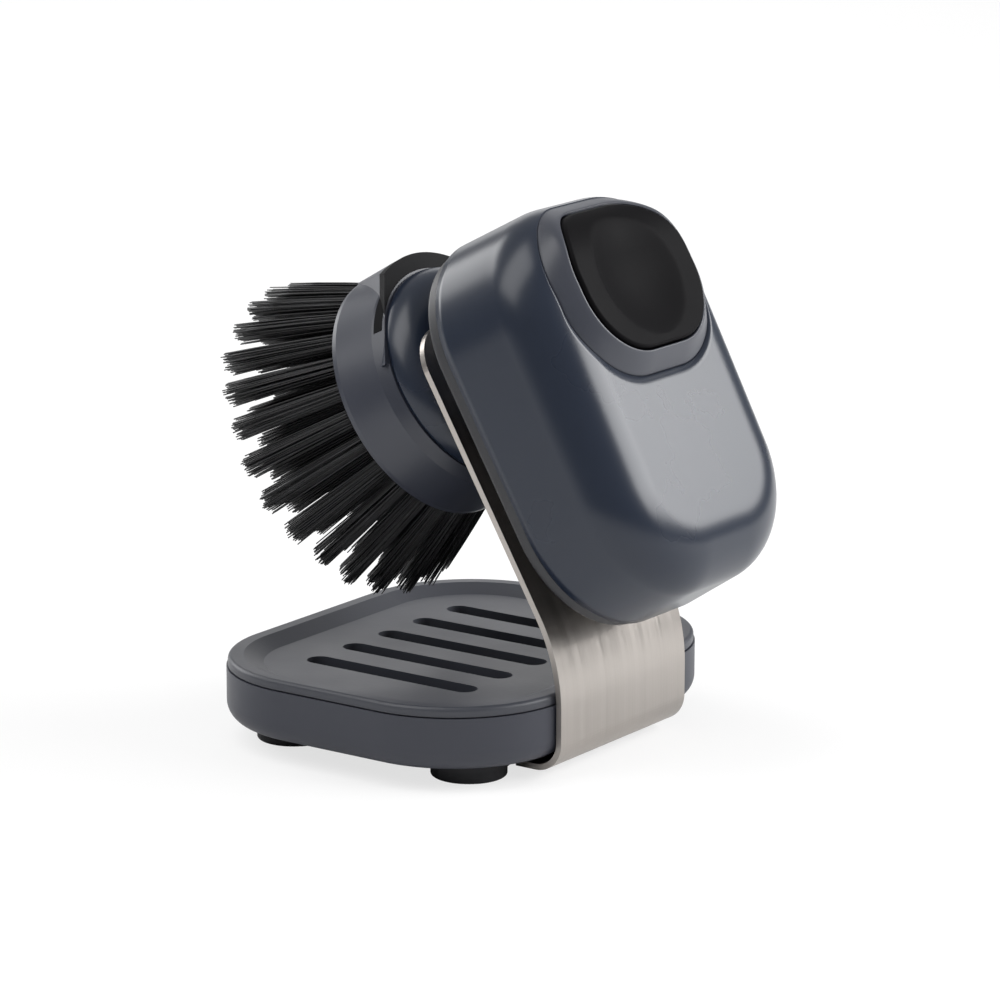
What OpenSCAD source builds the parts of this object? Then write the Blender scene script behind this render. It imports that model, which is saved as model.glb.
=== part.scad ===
// Palm-held dish wand that doses washing-up liquid, parked in its steel and plastic storage stand.
// Millimetres. Z is up, X is the width of the steel plate, the handle is on the -Y side.
// The brush is drawn upright about its own axis, bristles down, and on_brush() leans it into the fork.

/* [Stand] */
// Width of the drip tray along X
tray_w = 92; // [86:1:110]
// Depth of the drip tray along Y
tray_d = 75.8; // [72:1:96]
// Corner radius of the tray seen from above
tray_corner_r = 25.5; // [18:0.5:28]
// Height of the tray wall, from its flat underside to its edge
tray_h = 11; // [10:0.5:16]
// Rounding where the tray wall meets its underside
tray_edge_r = 4; // [2:0.5:5]
// Wall and floor thickness of the tray
tray_wall = 2.4; // [1.8:0.2:3]
// Height of the grid's raised rim above the tray edge
grid_rise = 2.2; // [1.6:0.2:3]
// How far the grid's deck lies below its rim
grid_dish = 1.7; // [1:0.1:2]
// Number of drain slots
slot_count = 5; // [3:1:5]
// Distance from one drain slot to the next
slot_pitch = 12; // [10:0.5:13]
// Width of a drain slot
slot_w = 5.2; // [3:0.2:6]
// Length of a drain slot
slot_len = 41; // [20:1:44]

/* [Feet] */
// Height of the tray's underside above the table
foot_h = 4.2; // [4:0.1:6]
// Radius of a foot's pad
foot_r = 7.6; // [5:0.1:8]
// Distance of a foot from the tray's middle along X
foot_x = 28; // [26:0.5:32]
// Distance of a foot from the tray's middle along Y
foot_y = 21.6; // [18:0.1:23]

/* [Steel bracket] */
// Distance of each bracket screw from the middle
screw_x = 9; // [7:0.5:12]
// Width of the steel plate
plate_w = 44; // [40:1:48]
// Thickness of the steel plate
plate_t = 1.2; // [0.8:0.1:1.6]
// Outer radius of the bend under the tray
low_bend_r = 6; // [5:0.5:8]
// Middle radius of the wide bend where the plate starts to lean
lean_bend_r = 36; // [26:1:42]
// Gap between the table and the plate's lower leg
plate_lift = 1.4; // [1.2:0.1:1.6]
// Radius of the outer corner at the tip of each prong
prong_corner_r = 9; // [4:0.5:9]
// How far the prongs reach past the brush axis
prong_reach = 9; // [6:0.5:10]

/* [Brush] */
// Angle between the brush axis and the table
brush_tilt = 30.5; // [28:0.5:32]
// Height of the seam between neck and head above the table
head_z = 73.1; // [70:0.1:80]
// Place of that seam along Y
head_y = -0.8; // [-4:0.1:4]
// Length from that seam to the handle's underside
neck_len = 16.2; // [15:0.1:22]
// Radius of the neck where the fork holds it
neck_r = 11; // [8:0.5:12]
// Radius of the neck's flare at the head
flare_r = 22.2; // [18:0.1:23]
// Radius of the collar above the fork
collar_r = 16; // [13:0.5:18]

/* [Handle] */
// Width of the handle across the palm
handle_w = 60; // [56:1:70]
// Length of the handle along the palm
handle_len = 81.8; // [76:0.2:92]
// Corner radius of the handle seen from above
handle_corner_r = 23; // [20:0.5:25]
// Rounding of the handle's upper edge
handle_edge_r = 11; // [9:0.5:12]
// Height of the reservoir shell above its seam
shell_h = 25; // [24:0.5:32]
// Slope of the handle's top, rising towards the button
crown_slope = 3; // [0:0.5:4]
// Inward lean of the shell's wall over its height
shell_draft = 1.2; // [0:0.1:2]
// Height of the dark base rim
rim_h = 3.3; // [2.6:0.1:5]
// How far the base rim stands in from the shell
rim_inset = 0.7; // [0.3:0.1:1.5]
// Distance of the handle's middle behind the brush axis
handle_back = 19.9; // [16:0.1:21]
// Wall thickness of the reservoir shell
shell_wall = 2.2; // [1.8:0.1:3]

/* [Button] */
// Width of the thumb button
button_w = 37.4; // [30:0.2:38]
// Length of the thumb button
button_len = 30.4; // [26:0.2:31]
// How far the button's middle lies in front of the brush axis
button_shift = 1; // [0:0.1:1.2]
// Corner radius of the button
button_corner_r = 13.5; // [10:0.5:14]
// Width of the bezel band beside the button
bezel_band = 4.2; // [3:0.1:4.4]
// Width of the bezel band behind the button
bezel_back = 4.5; // [3:0.1:5]
// Width of the bezel band in front of the button
bezel_front = 2.8; // [2.6:0.1:3]
// Height of the bezel's inner edge above the head seam
bezel_z = 48.1; // [47:0.1:49]
// Depth of the thumb dish
dish_depth = 3; // [1:0.1:3.2]
// Travel of the button
button_travel = 3.5; // [2:0.1:3.6]

/* [Head] */
// Radius of the head cup at its open rim
cup_r = 25.9; // [24:0.1:28]
// Depth of the head cup
cup_depth = 11.5; // [10:0.5:14]
// Radius of the raised hood on the cup's front
hood_r = 26.2; // [24.4:0.1:28]
// Angle between the hood's front and the middle of each side flat
flat_angle = 56; // [50:1:60]
// Height of the bristles past the cup's rim
bristle_reach = 23; // [15:0.5:24]
// Radius of the ring of outer bristle tips
bristle_tip_r = 33.6; // [28:0.2:36]
// Thickness of one modelled strand
strand_d = 0.7; // [0.4:0.02:0.8]

/* [Fits] */
// Gap around the neck in the fork
fork_gap = 0.45; // [0.3:0.05:0.8]
// Gap around the button in its bezel
button_gap = 0.35; // [0.3:0.05:0.5]
// Radial gap of the plunger in its guide and cylinder
slide_fit = 0.08; // [0.03:0.01:0.1]
// Gap between the grid's skirt and the tray wall
grid_gap = 0.35; // [0.3:0.05:0.6]
// Gap at hidden faces of fixed pieces
seat_gap = 0.05; // [0:0.01:0.1]

/* [Hidden] */
// Shift of the stand along Y that centres the whole object on the origin
stand_y = 8.46;
$fn = 96;
slate = [0.22, 0.23, 0.27];
smoke = [0.26, 0.28, 0.34];
black = [0.08, 0.08, 0.09];
steel = [0.75, 0.73, 0.70];
tiny = 0.01;
tray_top = foot_h + tray_h;
plate_y = -tray_d / 2 - 0.3;
seam_z = neck_len + rim_h;
plate_lo = 7.1;
plate_hi = plate_lo + plate_t;
plate_mid = plate_lo + plate_t / 2;
slot_r = neck_r + fork_gap;
well_floor = 34;
well_t = 1.8;
button_z = bezel_z + 0.3;
pocket_top = button_z - 4.2;
stem_r = 3;
piston_r = 6.7;
piston_z = 25.5;
cyl_wall = 2;
block_front = -cup_depth + 2.5;
slice_t = 1.5;
plug_y = -handle_back - 22;
screw_y = -17.5;
tongue_half = 17.5;
boss_x = 17.5;
boss_y = 27.5;
grid_seat = 0.25;
mound_fall = 0.83;
brow_r = 15.1;
brow_y = 5.4;

// Shared shapes

// Moves the stand's own drawing so that the whole object is centred on the origin
module on_table() {
    translate([0, stand_y, 0]) children();
}

// Leans the upright brush into the stand's own drawing
module lean() {
    translate([0, head_y, head_z]) rotate([90 - brush_tilt, 0, 0]) children();
}

// Places the upright brush in the stand's fork
module on_brush() {
    on_table() lean() children();
}

// Sweeps a half profile round a rounded rectangle; the profile's x is measured from the corner centre
module swept_box(w, d, r, z0, z1) {
    for (sx = [-1, 1], sy = [-1, 1])
        translate([sx * (w / 2 - r), sy * (d / 2 - r), 0]) rotate_extrude() children();
    for (turn = [0, 180]) rotate([0, 0, turn]) {
        translate([w / 2 - r, 0, 0])
            rotate([90, 0, 0]) linear_extrude(d - 2 * r, center = true) children();
        translate([0, d / 2 - r, 0])
            rotate([90, 0, 90]) linear_extrude(w - 2 * r, center = true) children();
    }
    translate([0, 0, (z0 + z1) / 2]) cube([w - 2 * r, d - 2 * r, z1 - z0], center = true);
}

// A plain rounded rectangle plate from z0 to z1
module slab(w, d, r, z0, z1) {
    translate([0, 0, z0]) linear_extrude(z1 - z0) rounded(w, d, r);
}

// A rounded rectangle outline
module rounded(w, d, r) {
    for (sx = [-1, 1], sy = [-1, 1])
        translate([sx * (w / 2 - r), sy * (d / 2 - r)]) circle(r);
    square([w - 2 * r, d], center = true);
    square([w, d - 2 * r], center = true);
}

// A drain slot's outline, standing along Y
module slot_outline(width, length) {
    for (s = [-1, 1]) translate([0, s * (length - width) / 2]) circle(width / 2);
    square([width, length - width], center = true);
}

// Middle of each drain slot along X
function slot_x(i) = (i - (slot_count - 1) / 2) * slot_pitch;

// Stand

// Half profile of the tray's outside: flat underside, rounded edge, plain wall
module tray_profile(r, z0, z1, e) {
    translate([r - e, z0 + e]) circle(e);
    translate([0, z0]) square([r - e, z1 - z0]);
    translate([0, z0 + e]) square([r, z1 - z0 - e]);
}

// Drip tray with its screw land and foot sockets
module drip_tray() {
    in_r = tray_corner_r - tray_wall;
    color(slate) on_table() difference() {
        union() {
            swept_box(tray_w, tray_d, tray_corner_r, foot_h, tray_top)
                intersection() {
                    tray_profile(tray_corner_r, foot_h, tray_top, tray_edge_r);
                    translate([0, foot_h]) square([tray_corner_r, tray_h]);
                }
            translate([0, screw_y, 0]) slab(30, 20, 3, plate_lift + plate_t, foot_h + 1);
        }
        slab(tray_w - 2 * tray_wall, tray_d - 2 * tray_wall, in_r, foot_h + 2.2, tray_top + 1);
        // Step that carries the grid
        slab(tray_w - 1.6, tray_d - 1.6, tray_corner_r - 0.8, tray_top - 1.2, tray_top + 1);
        for (sx = [-1, 1], sy = [-1, 1])
            translate([sx * foot_x, sy * foot_y, foot_h - 1]) cylinder(r = 3 + seat_gap, h = 5);
        for (sx = [-1, 1])
            translate([sx * screw_x, screw_y, 0]) cylinder(r = 1.25 + seat_gap, h = foot_h + 1.4);
    }
}

// Dished drip grid: raised rim, sunk deck with drain slots, short skirt inside the tray
module drip_grid() {
    rim_top = tray_top + grid_rise;
    deck = rim_top - grid_dish;
    low = tray_top - 1.2 + grid_seat;
    in_w = tray_w - 2 * tray_wall - 2 * grid_gap;
    in_d = tray_d - 2 * tray_wall - 2 * grid_gap;
    in_r = tray_corner_r - tray_wall - grid_gap;
    color(slate) on_table() difference() {
        union() {
            swept_box(tray_w - 0.6, tray_d - 0.6, tray_corner_r - 0.3, tray_top + grid_seat, rim_top)
                rim_profile(tray_corner_r - 0.3, tray_top + grid_seat, rim_top, 0.9);
            slab(tray_w - 1.6 - 2 * grid_gap, tray_d - 1.6 - 2 * grid_gap,
                tray_corner_r - 0.8 - grid_gap, low, tray_top + 1);
            slab(in_w, in_d, in_r, low - 1.6, tray_top);
        }
        swept_box(tray_w - 7, tray_d - 7, tray_corner_r - 3.5, deck, rim_top + 1)
            polygon([[0, deck], [tray_corner_r - 7.5, deck], [tray_corner_r - 3.5, rim_top],
                [tray_corner_r - 3.5, rim_top + 1], [0, rim_top + 1]]);
        slab(in_w - 3.2, in_d - 3.2, in_r - 1.6, low - 3, deck - 2);
        for (i = [0 : slot_count - 1])
            translate([slot_x(i), 0.3, low - 3]) linear_extrude(9) slot_outline(slot_w, slot_len);
    }
}

// Half profile of the grid's rim, rounded on its upper edge
module rim_profile(r, z0, z1, e) {
    translate([r - e, z1 - e]) intersection() {
        circle(e);
        square(e + 1);
    }
    translate([0, z0]) square([r - e, z1 - z0]);
    translate([0, z0]) square([r, z1 - e - z0]);
}

// Four press-in feet: wide flange, smaller pad, stem through the tray floor
module rubber_feet() {
    color(black) on_table() for (sx = [-1, 1], sy = [-1, 1])
        translate([sx * foot_x, sy * foot_y, 0]) rotate_extrude() {
            translate([0, 0.5]) square([foot_r, foot_h - 0.5]);
            square([foot_r - 0.5, 1]);
            translate([foot_r - 0.5, 0.5]) circle(0.5, $fn = 32);
            translate([0, foot_h - 1.6]) square([foot_r + 0.8, 1.6 - seat_gap]);
            square([3, foot_h + 2.4]);
            translate([0, foot_h + 2.25]) square([3.8, 1]);
        }
}

// Points on an arc round c, from angle a0 to angle a1 in n steps
function arc(c, r, a0, a1, n) = [for (i = [0 : n])
    let (a = a0 + (a1 - a0) * i / n) c + r * [cos(a), sin(a)]];

// A list of points in reverse order
function backwards(list) = [for (i = [len(list) - 1 : -1 : 0]) list[i]];

// Point on the leaning plate, l along the lean and h across it, in world Y and Z
function on_lean(l, h) = [head_y + l * sin(brush_tilt) - h * cos(brush_tilt),
    head_z + l * cos(brush_tilt) + h * sin(brush_tilt)];

// One face of the bent plate seen from the side, s mm from the outer face
function plate_face(s) =
    let (mid_y = plate_y - plate_t / 2,
        cross_l = (mid_y - head_y + plate_mid * cos(brush_tilt)) / sin(brush_tilt),
        bend_z = on_lean(cross_l, plate_mid)[1] - lean_bend_r * tan(brush_tilt / 2),
        low_c = [plate_y - plate_t + low_bend_r, plate_lift + low_bend_r],
        lean_c = [mid_y + lean_bend_r, bend_z])
    concat([[low_c[0] + 29, plate_lift + s]], arc(low_c, low_bend_r - s, 270, 180, 16),
        arc(lean_c, lean_bend_r + plate_t / 2 - s, 180, 180 - brush_tilt, 24),
        [on_lean(prong_reach, plate_hi - s)]);

// Side view of the bent plate, drawn with x as world Y and y as world Z
module plate_side() {
    polygon(concat(plate_face(0), backwards(plate_face(plate_t))));
}

// Bent steel bracket with its two-pronged fork
module steel_bracket() {
    half = plate_w / 2;
    color(steel) on_table() difference() {
        rotate([90, 0, 90]) linear_extrude(plate_w, center = true) plate_side();
        // fork slot and the rounded outer corners of the prongs
        lean() translate([0, 0, plate_lo - 2]) linear_extrude(plate_t + 4) {
            circle(slot_r);
            translate([-slot_r, 0]) square([2 * slot_r, 40]);
            for (m = [0, 1]) mirror([m, 0])
                translate([half - prong_corner_r + 0.03, prong_reach - prong_corner_r + 0.03])
                    difference() {
                        square(prong_corner_r + 1);
                        circle(prong_corner_r);
                    }
        }
        // narrow tongue between the feet
        for (m = [0, 1]) mirror([m, 0, 0])
            translate([tongue_half, plate_y - plate_t + low_bend_r + 4.8, 0]) cube([20, 40, 3.5]);
        for (sx = [-1, 1])
            translate([sx * screw_x, screw_y, 0]) cylinder(r = 1.6, h = 5);
    }
}

// Two flat-headed screws from the plate's lower leg into the tray's land
module bracket_screws() {
    color(steel) on_table() for (sx = [-1, 1]) translate([sx * screw_x, screw_y, 0]) {
        translate([0, 0, 0.45]) difference() {
            cylinder(r = 3, h = plate_lift - 0.45 - seat_gap);
            cylinder(r = 1.2, h = 0.5, $fn = 6);
        }
        translate([0, 0, plate_lift - 0.2]) cylinder(r = 1.25, h = foot_h + 1.1 - plate_lift);
    }
}

// Handle

// Outline of the handle grown or shrunk by g, centred behind the brush axis
module handle_slab(g, z0, z1) {
    translate([0, -handle_back, 0])
        slab(handle_w + 2 * g, handle_len + 2 * g, handle_corner_r + g, z0, z1);
}

// Half profile of the reservoir: drafted wall and a rounded upper edge
module shell_profile(r, z1, e, lean) {
    polygon([[0, -3], [r + lean * 3 / z1, -3], [r - lean, z1 - e], [0, z1 - e]]);
    translate([0, z1 - e]) square([r - lean - e, e]);
    translate([r - lean - e, z1 - e]) intersection() {
        circle(e);
        square(e + 1);
    }
}

// The reservoir's solid form, shrunk by g on every side, with its sloping top
module shell_form(g) {
    r = handle_corner_r - g;
    translate([0, -handle_back, seam_z]) rotate([crown_slope, 0, 0])
        swept_box(handle_w - 2 * g, handle_len - 2 * g, r, -3, shell_h - g)
            shell_profile(r, shell_h - g, handle_edge_r - g, shell_draft);
}

// Button outline grown by g
module button_outline(g) {
    translate([0, button_shift]) rounded(button_w + 2 * g, button_len + 2 * g, button_corner_r + g);
}

// Outer outline of the bezel grown by g; it reaches further back than forward
module bezel_outline(g) {
    translate([0, button_shift + (bezel_front - bezel_back) / 2])
        rounded(button_w + 2 * bezel_band + 2 * g, button_len + bezel_front + bezel_back + 2 * g,
            button_corner_r + (bezel_front + bezel_back) / 2 + g);
}

// Smoked reservoir shell with the opening for the bezel and four screw bosses
module reservoir_shell() {
    color(smoke) on_brush() difference() {
        union() {
            difference() {
                shell_form(0);
                shell_form(shell_wall);
            }
            intersection() {
                shell_form(1);
                union() {
                    boss_posts(3.3, seam_z + 0.3, seam_z + 12);
                    boss_ribs(2, seam_z + 3.4, seam_z + 12);
                }
            }
        }
        translate([0, -handle_back, seam_z - 19.7]) cube([100, 120, 40], center = true);
        boss_posts(1.2, seam_z, seam_z + 9);
        translate([0, 0, 36]) linear_extrude(30) bezel_outline(seat_gap);
        translate([0, 0, well_floor - 0.3]) linear_extrude(5) button_outline(well_t + 0.2);
    }
}

// Posts at the four screw places
module boss_posts(r, z0, z1) {
    for (sx = [-1, 1], sy = [-1, 1])
        translate([sx * boss_x, -handle_back + sy * boss_y, z0]) cylinder(r = r, h = z1 - z0);
}

// Ribs that join the screw posts to the shell's corners
module boss_ribs(t, z0, z1) {
    for (sx = [-1, 1], sy = [-1, 1])
        translate([sx * boss_x, -handle_back + sy * boss_y, z0]) rotate([0, 0, atan2(sy, sx)])
            translate([0, -t / 2, 0]) cube([9, t, z1 - z0]);
}

// Dark base with its rim, spigot, pump seat, screw recesses and filler hole
module handle_base() {
    floor_z = neck_len;
    color(slate) on_brush() difference() {
        union() {
            translate([0, -handle_back, 0])
                swept_box(handle_w - 2 * rim_inset, handle_len - 2 * rim_inset,
                    handle_corner_r - rim_inset, floor_z, seam_z - 0.6)
                    base_profile(handle_corner_r - rim_inset, floor_z, seam_z - 0.6, 1.2);
            difference() {
                handle_slab(-shell_wall - 1.9, seam_z - 1, seam_z + 3);
                handle_slab(-shell_wall - 3.9, seam_z - 0.6, seam_z + 4);
            }
        }
        // seat for the neck, the screws and the stopper
        translate([0, 0, floor_z - 1]) cylinder(r = 9 + seat_gap, h = 5);
        boss_posts(1.6, floor_z - 1, seam_z + 4);
        boss_posts(2.9, floor_z - 1, floor_z + 1.4);
        boss_posts(3.6, seam_z - 0.6, seam_z + 4);
        translate([0, plug_y, floor_z - 1]) cylinder(r = 5 + seat_gap, h = 6);
        translate([0, plug_y, floor_z - 1]) cylinder(r = 7.3, h = 1.9);
    }
}

// Half profile of the base's rim, rounded on its lower edge
module base_profile(r, z0, z1, e) {
    intersection() {
        union() {
            translate([r - e, z0 + e]) circle(e, $fn = 48);
            translate([0, z0]) square([r - e, z1 - z0]);
            translate([0, z0 + e]) square([r, z1 - z0 - e]);
        }
        translate([0, z0]) square([r + 1, z1 - z0]);
    }
}

// Thin gasket pinched between base and shell, seen as the seam line
module base_gasket() {
    color(black) on_brush() difference() {
        handle_slab(-rim_inset - 0.5, seam_z - 0.55, seam_z + 0.25);
        handle_slab(-shell_wall - 1.8, seam_z - 2, seam_z + 2);
        boss_posts(3.6, seam_z - 2, seam_z + 2);
    }
}

// Four screws that pull the base to the shell
module base_screws() {
    color(steel) on_brush() {
        boss_posts(2.6, neck_len + 0.3, neck_len + 1.35);
        boss_posts(1.15, neck_len + 0.3, seam_z + 8);
    }
}

// Rubber stopper of the filler hole, with a pull tab
module filler_stopper() {
    color(black) on_brush() translate([0, plug_y, 0]) {
        translate([0, 0, neck_len - 1.3]) cylinder(r = 7, h = 1.9);
        translate([0, 0, neck_len]) cylinder(r = 4.97, h = 4.4);
        translate([0, -7.2, neck_len - 1.3]) linear_extrude(0.95) slot_outline(6, 9);
    }
}

// Sloping ring round the button, with the well that seals the button from the soap
module button_bezel() {
    color(slate) on_brush() difference() {
        union() {
            intersection() {
                bezel_mound();
                brow(0);
                translate([0, 0, 38]) linear_extrude(12) bezel_outline(0);
            }
            translate([0, 0, well_floor]) linear_extrude(9) button_outline(well_t);
            translate([0, 0, well_floor - 5]) cylinder(r = stem_r + 2.4, h = 6);
        }
        translate([0, 0, well_floor + 2]) linear_extrude(20) button_outline(button_gap);
        translate([0, 0, well_floor - 6]) cylinder(r = stem_r + slide_fit, h = 12);
    }
}

// Steep-sided mound that rises from the shell's skin to the button's edge
module bezel_mound() {
    grow = 6;
    mr = button_corner_r + grow;
    translate([0, button_shift, 0]) swept_box(button_w + 2 * grow, button_len + 2 * grow, mr, 36, bezel_z)
        polygon([[0, 36], [mr, 36], [mr, bezel_z - mound_fall * grow], [mr - grow, bezel_z],
            [0, bezel_z]]);
}

// Everything under the rounded brow that the front of bezel and button share, raised by g
module brow(g) {
    rotate([90, 0, 90]) linear_extrude(80, center = true) {
        translate([brow_y, bezel_z + g - brow_r]) circle(brow_r, $fn = 180);
        translate([brow_y - 60, 20]) square([60, bezel_z + g - 20]);
        translate([brow_y, 20]) square([brow_r, bezel_z + g - brow_r - 20]);
    }
}

// Black dished thumb button with its skirt and boss
module push_button() {
    dish_r = (13 * 13 + dish_depth * dish_depth) / (2 * dish_depth);
    color(black) on_brush() difference() {
        intersection() {
            translate([0, 0, button_z - 6.5]) linear_extrude(6.5) button_outline(0);
            brow(button_z - bezel_z);
        }
        translate([0, 0, button_z - 7]) difference() {
            linear_extrude(pocket_top - button_z + 7) button_outline(-2);
            cylinder(r = 6.4, h = 4);
        }
        translate([0, 0, button_z - 7]) cylinder(r = 5.6, h = pocket_top - button_z + 7);
        // shallow thumb dish, set a little back from the brow
        translate([0, -1, button_z + dish_r - dish_depth]) sphere(r = dish_r, $fn = 180);
    }
}

// Plunger: stem with the piston at its foot
module plunger() {
    color(slate) on_brush() difference() {
        union() {
            translate([0, 0, piston_z]) cylinder(r = stem_r, h = pocket_top - piston_z);
            translate([0, 0, piston_z]) cylinder(r = piston_r - 0.2, h = 3);
        }
        translate([0, 0, piston_z + 1.5]) rotate_extrude()
            translate([piston_r - 0.62, 0]) circle(0.66, $fn = 32);
    }
}

// Ring that seals the piston in the cylinder
module piston_seal() {
    color(black) on_brush() translate([0, 0, piston_z + 1.5]) rotate_extrude()
        translate([piston_r - 0.62, 0]) circle(0.62, $fn = 32);
}

// Pump cylinder on the end of the neck's spigot, with inlet holes on two sides
module pump_cylinder() {
    color(slate) on_brush() difference() {
        translate([0, 0, seam_z]) cylinder(r = piston_r + slide_fit + cyl_wall, h = 9);
        translate([0, 0, seam_z + 1.2]) cylinder(r = piston_r + slide_fit, h = 9);
        translate([0, 0, seam_z - 1]) cylinder(r = 1.5, h = 3);
        translate([0, 0, seam_z + 4.4]) rotate([90, 0, 0])
            cylinder(r = 1, h = 30, center = true, $fn = 32);
    }
}

// Return spring round the plunger, one unbroken tube
spring_wire = 0.8;
spring_r = 4.6;
spring_turns = 3;
spring_lo = well_floor + 2 + spring_wire / 2 + 0.1;
spring_hi = pocket_top - spring_wire / 2 - 0.1;
spring_steps = 8 * spring_turns;
// Point of the spring's centre line at step i
function spring_at(i) = [spring_r * cos(45 * i), spring_r * sin(45 * i),
    spring_lo + (spring_hi - spring_lo) * i / spring_steps];
// Corner j of the six-sided wire at step i
function spring_ring(i) = [for (j = [0 : 5]) [
    (spring_r + spring_wire / 2 * cos(60 * j)) * cos(45 * i),
    (spring_r + spring_wire / 2 * cos(60 * j)) * sin(45 * i),
    spring_at(i)[2] + spring_wire / 2 * sin(60 * j)]];
module button_spring() {
    pts = [for (i = [0 : spring_steps]) each spring_ring(i)];
    last = 6 * spring_steps;
    sides = [for (i = [0 : spring_steps - 1], j = [0 : 5]) each
        let (a = 6 * i + j, b = 6 * i + (j + 1) % 6)
        [[a, b, a + 6], [b, b + 6, a + 6]]];
    caps = [for (j = [1 : 4]) each [[0, j + 1, j], [last, last + j, last + j + 1]]];
    color(steel) on_brush() polyhedron(points = pts, faces = concat(sides, caps));
}

// Glossy neck: flare at the head, groove for the fork, collar and spigot into the base
module neck_dome() {
    groove_lo = plate_lo - 0.45;
    groove_hi = plate_hi + 0.45;
    color(smoke) on_brush() difference() {
        rotate_extrude() {
            // rounded flare between the head seam and the groove
            intersection() {
                translate([0, 0.3]) union() {
                    square([neck_r, groove_lo - 0.3]);
                    translate([flare_r - 6.35, 0]) circle(groove_lo - 0.3, $fn = 96);
                    square([flare_r - 6.35, groove_lo - 0.3]);
                }
                translate([0, 0.3]) square([40, groove_lo - 0.3]);
            }
            translate([0, 0.3]) square([neck_r, groove_hi - 0.3]);
            translate([0, groove_hi]) square([collar_r, neck_len - groove_hi - seat_gap]);
            square([9, seam_z - seat_gap]);
            translate([0, -4]) square([8, 5]);
        }
        translate([0, 0, -6]) cylinder(r = 1.5, h = 40);
        translate([0, 0, neck_len + 1.6]) rotate_extrude()
            translate([8.4, 0]) circle(0.7, $fn = 32);
    }
}

// Ring that seals the neck in the base
module neck_seal() {
    color(black) on_brush() translate([0, 0, neck_len + 1.6]) rotate_extrude()
        translate([8.4, 0]) circle(0.64, $fn = 32);
}

// Head

// Solid form of the head cup: a bowl that widens to the rim, with a hood on its front
module cup_form(g) {
    back = flare_r + 0.25;
    rotate_extrude() polygon([[0, -cup_depth], [cup_r - g, -cup_depth], [cup_r - g, -cup_depth + 1],
        [back + 1.4 - g, -2.4], [back - g, 0], [0, 0]]);
    // hood: a cylinder cut by two flats that lean out towards the rim
    intersection() {
        translate([0, 0, -cup_depth]) cylinder(r = hood_r - g, h = cup_depth);
        hood_block(g);
    }
}

// Block between the two leaning flats, kept to the front half
module hood_block(g) {
    lean = atan((cup_r - flare_r) / cup_depth);
    intersection() {
        rotate([0, 0, flat_angle]) flat_side(g, lean);
        mirror([1, 0, 0]) rotate([0, 0, flat_angle]) flat_side(g, lean);
        translate([-40, 6, -cup_depth]) cube([80, 40, cup_depth]);
    }
}

// Everything inside one leaning flat whose middle looks along Y
module flat_side(g, lean) {
    translate([0, flare_r + 0.3 - g, 0]) rotate([-lean, 0, 0])
        translate([-60, -80, -20]) cube([120, 80, 30]);
}

// Head cup, hollow from its rim, with the seat for the neck's spigot
module head_cup() {
    color(slate) on_brush() difference() {
        cup_form(0);
        translate([0, 0, -cup_depth - 1]) cylinder(r = cup_r - 1.8, h = 6.8);
        translate([0, 0, -cup_depth - 1]) cylinder(r = 20, h = cup_depth - 2);
        translate([0, 0, -cup_depth - 1]) cylinder(r = 8.35, h = 20);
        grip_room(0);
    }
}

// Space of the grip pad on the back of the hood
module grip_room(g) {
    translate([0, 0, -2 + g]) linear_extrude(4) difference() {
        translate([-40, 12.8 + g]) square([80, 40]);
        circle(flare_r + 0.5 + g);
    }
}

// Black crescent pad on the back of the hood
module head_grip_pad() {
    color(black) on_brush() difference() {
        intersection() {
            cup_form(0.02);
            translate([-40, 12.9, -1.95]) cube([80, 40, 1.95]);
        }
        translate([0, 0, -3]) cylinder(r = flare_r + 0.55, h = 6);
    }
}

// Black block that holds the tufts
module bristle_block() {
    color(black) on_brush() difference() {
        union() {
            translate([0, 0, block_front + slice_t + 0.05])
                cylinder(r = cup_r - 1.8 - seat_gap, h = 1.6);
            translate([0, 0, block_front + slice_t]) cylinder(r = 19.9, h = 4.4);
        }
        translate([0, 0, block_front]) cylinder(r = 4.5 + seat_gap, h = 10);
        translate([0, 0, block_front + slice_t + 2]) cylinder(r = 8.4, h = 10);
    }
}

// Nozzle in the middle of the bristles
module outlet_nozzle() {
    color(slate) on_brush() difference() {
        union() {
            translate([0, 0, block_front - 4]) cylinder(r = 4.5, h = 6);
            translate([0, 0, block_front + slice_t + 2.05]) cylinder(r = 7, h = 1);
            translate([0, 0, block_front + slice_t]) cylinder(r = 4.4, h = 3);
        }
        translate([0, 0, block_front - 6]) cylinder(r = 1.6, h = 20);
        translate([0, 0, block_front - 5]) cylinder(r = 3, h = 5);
    }
}

// Soft valve that closes the nozzle
module outlet_valve() {
    color(black) on_brush() difference() {
        union() {
            translate([0, 0, block_front - 3.2]) cylinder(r = 2.95, h = 3.1);
            translate([0, 0, block_front - 4.6]) cylinder(r1 = 1, r2 = 2, h = 1.5);
        }
        translate([0, 0, block_front - 3.2]) cylinder(r = 1.2, h = 5);
        translate([-0.15, -0.9, block_front - 6]) cube([0.3, 1.8, 4]);
    }
}

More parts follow.
